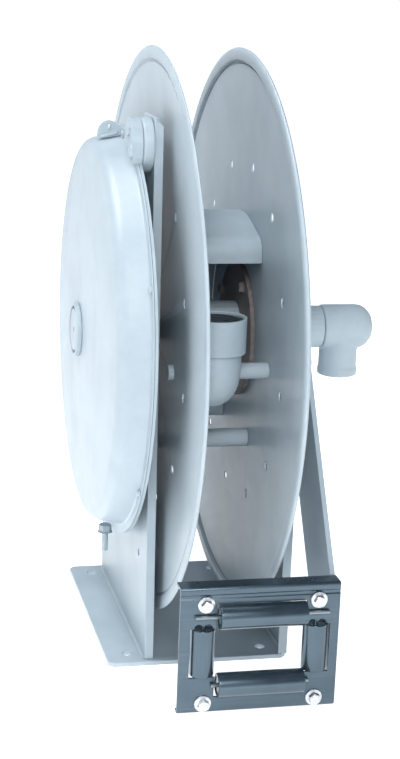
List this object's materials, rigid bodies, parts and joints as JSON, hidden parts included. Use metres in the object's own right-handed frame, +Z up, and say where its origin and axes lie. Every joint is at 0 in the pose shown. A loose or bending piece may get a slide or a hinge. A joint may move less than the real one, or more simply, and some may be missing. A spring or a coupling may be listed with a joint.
{
  "type": "fire hose reel",
  "caption": "Open spring-rewind hose reel on a base plate, with a round spring housing, a swivelling pipe inlet and a roller hose guide.",
  "frame": {"origin": "on the floor under the middle of the base plate", "axes": "+Z up, +X along the drum's axle towards the water inlet, -Y towards the roller guide where the hose leaves"},
  "size_m": [0.3408, 0.6124, 0.6422],
  "materials": {
    "reel_paint": "satin light blue-grey powder coat",
    "dark_steel": "dark semi-gloss steel",
    "zinc": "bright zinc plate",
    "bright_steel": "bare drawn steel"
  },
  "bodies": {
    "frame": {"base_plate": "reel_paint", "left_upright": "reel_paint", "right_upright": "reel_paint", "guide_arm": "reel_paint", "arm_bolt_1": "zinc", "arm_bolt_2": "zinc", "spring_cover": "reel_paint", "spring_back_plate": "reel_paint", "power_spring": "bright_steel", "cover_plug": "reel_paint", "cover_screw_1": "zinc", "cover_screw_2": "zinc", "cover_screw_3": "zinc", "cover_screw_4": "zinc", "cover_screw_5": "zinc", "cover_screw_6": "zinc", "cover_ear": "reel_paint", "top_standoff": "reel_paint", "lobe_bolt_1": "zinc", "lobe_bolt_2": "zinc", "anchor_bolt": "zinc", "left_bearing": "reel_paint", "right_bearing": "reel_paint", "guide_plate": "dark_steel", "guide_bolt_1": "zinc", "guide_bolt_2": "zinc", "guide_bolt_3": "zinc", "guide_bolt_4": "zinc", "roller_rod_top": "bright_steel", "roller_rod_bottom": "bright_steel", "roller_rod_left": "bright_steel", "roller_rod_right": "bright_steel", "pawl_pin": "zinc"},
    "drum": {"left_disc": "reel_paint", "right_disc": "reel_paint", "drum_shell": "reel_paint", "tie_tube_1": "reel_paint", "tie_tube_2": "reel_paint", "tie_rod_1": "reel_paint", "tie_rod_2": "reel_paint", "outlet_brace_left": "reel_paint", "outlet_brace_right": "reel_paint", "hub_tube": "reel_paint", "hub_flange": "reel_paint", "hub_bolt_1": "zinc", "hub_bolt_2": "zinc", "hub_bolt_3": "zinc", "hub_bolt_4": "zinc", "outlet_elbow": "reel_paint", "outlet_collar": "reel_paint", "spring_arbor": "bright_steel", "ratchet_wheel": "bright_steel"},
    "inlet_swivel": {"swivel_elbow": "reel_paint", "swivel_collar": "reel_paint"},
    "roller_top": {"roller_top": "dark_steel"},
    "roller_bottom": {"roller_bottom": "dark_steel"},
    "roller_left": {"roller_left": "dark_steel"},
    "roller_right": {"roller_right": "dark_steel"},
    "pawl": {"pawl": "bright_steel"}
  },
  "joints": [
    {"name": "drum_spin", "type": "hinge", "parent": "frame", "child": "drum", "pos_m": [0, 0, 0.336], "axis": [1, 0, 0], "continuous": true},
    {"name": "inlet_swivel", "type": "hinge", "parent": "frame", "child": "inlet_swivel", "pos_m": [0.159, 0, 0.336], "axis": [1, 0, 0], "continuous": true},
    {"name": "roller_top_spin", "type": "hinge", "parent": "frame", "child": "roller_top", "pos_m": [0.0345, -0.2694, 0.1045], "axis": [1, 0, 0], "continuous": true},
    {"name": "roller_bottom_spin", "type": "hinge", "parent": "frame", "child": "roller_bottom", "pos_m": [0.0345, -0.2694, 0.0315], "axis": [1, 0, 0], "continuous": true},
    {"name": "roller_left_spin", "type": "hinge", "parent": "frame", "child": "roller_left", "pos_m": [-0.025, -0.2616, 0.065], "axis": [0, 0, 1], "continuous": true},
    {"name": "roller_right_spin", "type": "hinge", "parent": "frame", "child": "roller_right", "pos_m": [0.0915, -0.2616, 0.065], "axis": [0, 0, 1], "continuous": true},
    {"name": "ratchet_pawl", "type": "hinge", "parent": "frame", "child": "pawl", "pos_m": [-0.048, -0.072, 0.306], "axis": [-1, 0, 0], "range_deg": [0, 8]}
  ]
}
